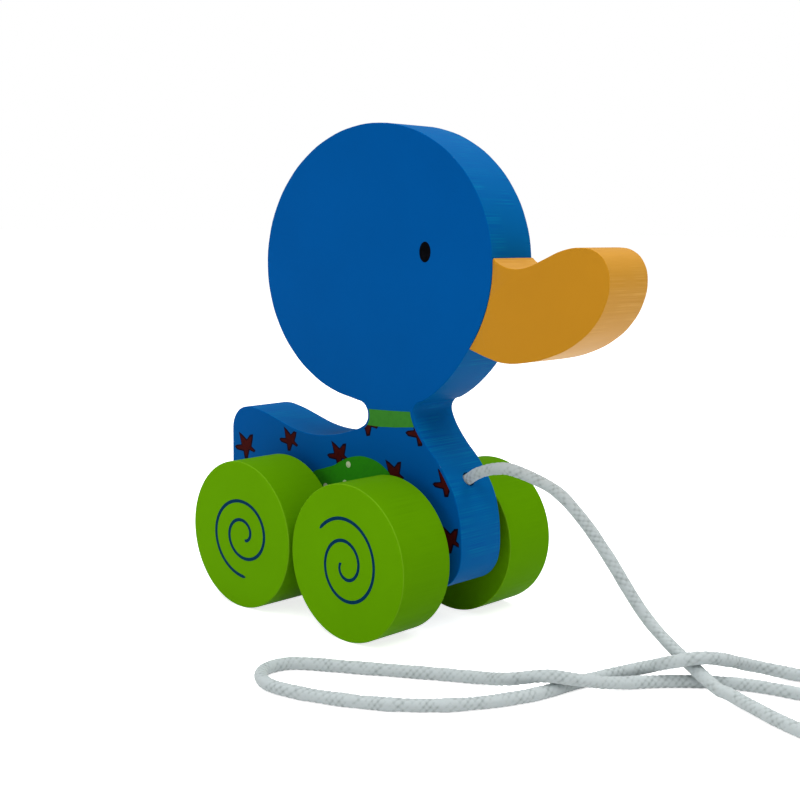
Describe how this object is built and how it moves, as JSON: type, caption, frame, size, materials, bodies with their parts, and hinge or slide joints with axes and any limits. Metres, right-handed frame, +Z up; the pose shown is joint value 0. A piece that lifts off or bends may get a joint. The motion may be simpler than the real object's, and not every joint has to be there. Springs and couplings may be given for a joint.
{
  "type": "wheeled pull toy",
  "caption": "Wooden duck on wheels: a sawn board body with a doweled beak rolls on two dowel axles and is pulled by a cotton cord in its chest.",
  "frame": {"origin": "on the floor, below the middle of the toy's length without its cord, on the board's middle plane", "axes": "+X forward, towards the beak; +Y to the duck's left, along the axles; +Z up"},
  "size_m": [0.2097, 0.0998, 0.1355],
  "materials": {
    "blue_paint": "satin paint",
    "orange_paint": "satin paint",
    "green_paint": "satin paint",
    "bare_beech": "bare, sanded",
    "white_cotton": "braided"
  },
  "bodies": {
    "root": {"body_board": "blue_paint", "beak": "orange_paint", "beak_dowel_upper": "bare_beech", "beak_dowel_lower": "bare_beech", "pull_cord": "white_cotton", "end_knot": "white_cotton"},
    "front_wheelset": {"front_axle": "bare_beech", "wheel_front_right": "green_paint", "wheel_front_left": "green_paint", "spacer_front_right": "bare_beech", "spacer_front_left": "bare_beech"},
    "rear_wheelset": {"rear_axle": "bare_beech", "wheel_rear_right": "green_paint", "wheel_rear_left": "green_paint", "spacer_rear_right": "bare_beech", "spacer_rear_left": "bare_beech"}
  },
  "joints": [
    {"name": "front_axle_spin", "type": "hinge", "parent": "root", "child": "front_wheelset", "pos_m": [0.00443, 0, 0.021], "axis": [0, 1, 0], "continuous": true},
    {"name": "rear_axle_spin", "type": "hinge", "parent": "root", "child": "rear_wheelset", "pos_m": [-0.03887, 0, 0.021], "axis": [0, 1, 0], "continuous": true}
  ]
}
